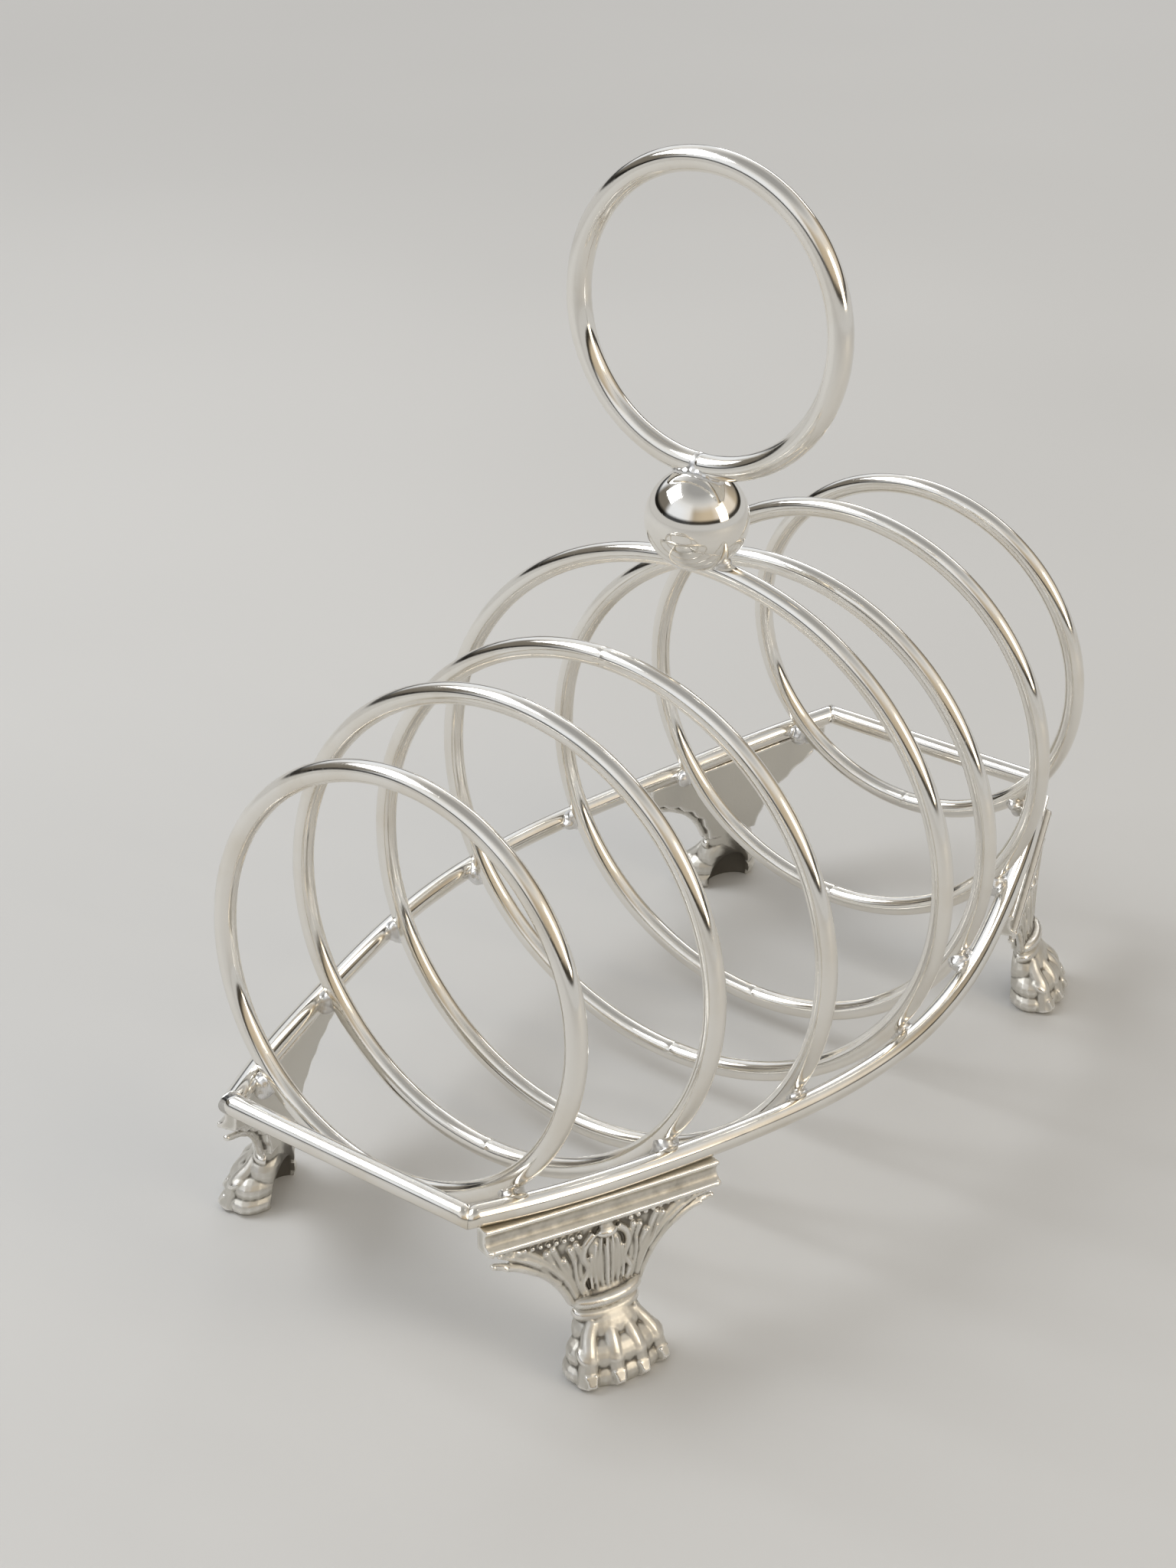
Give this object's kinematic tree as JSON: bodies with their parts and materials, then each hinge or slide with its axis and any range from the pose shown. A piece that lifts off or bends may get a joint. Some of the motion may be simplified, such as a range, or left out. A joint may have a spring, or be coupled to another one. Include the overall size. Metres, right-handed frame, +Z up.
{
  "type": "toast rack",
  "caption": "Silver-plated toast rack: leaning round rod hoops on a boat-shaped rod frame, ring handle on a polished ball, cast leaf brackets with paw feet.",
  "frame": {"origin": "On the table, under the middle of the rack", "axes": "+Z up; +Y along the row of hoops from the front end to the back end; +X to the right, across the slots"},
  "size_m": [0.0974, 0.1684, 0.1582],
  "materials": {
    "hoop_silver": "silver plate, polished, fine wear",
    "frame_silver": "silver plate, polished, tarnished underneath",
    "handle_silver": "silver plate, mirror polished",
    "cast_silver": "silver plate, frosted casting with bright high points"
  },
  "bodies": {
    "root": {"hoop_1": "hoop_silver", "hoop_2": "hoop_silver", "hoop_3": "hoop_silver", "hoop_4": "hoop_silver", "hoop_5": "hoop_silver", "hoop_6": "hoop_silver", "hoop_7": "hoop_silver", "side_rail_left": "frame_silver", "side_rail_right": "frame_silver", "end_bar_front": "frame_silver", "end_bar_back": "frame_silver", "ball": "handle_silver", "ring_handle": "handle_silver", "foot_front_left": "cast_silver", "foot_front_right": "cast_silver", "foot_back_left": "cast_silver", "foot_back_right": "cast_silver"}
  },
  "joints": []
}
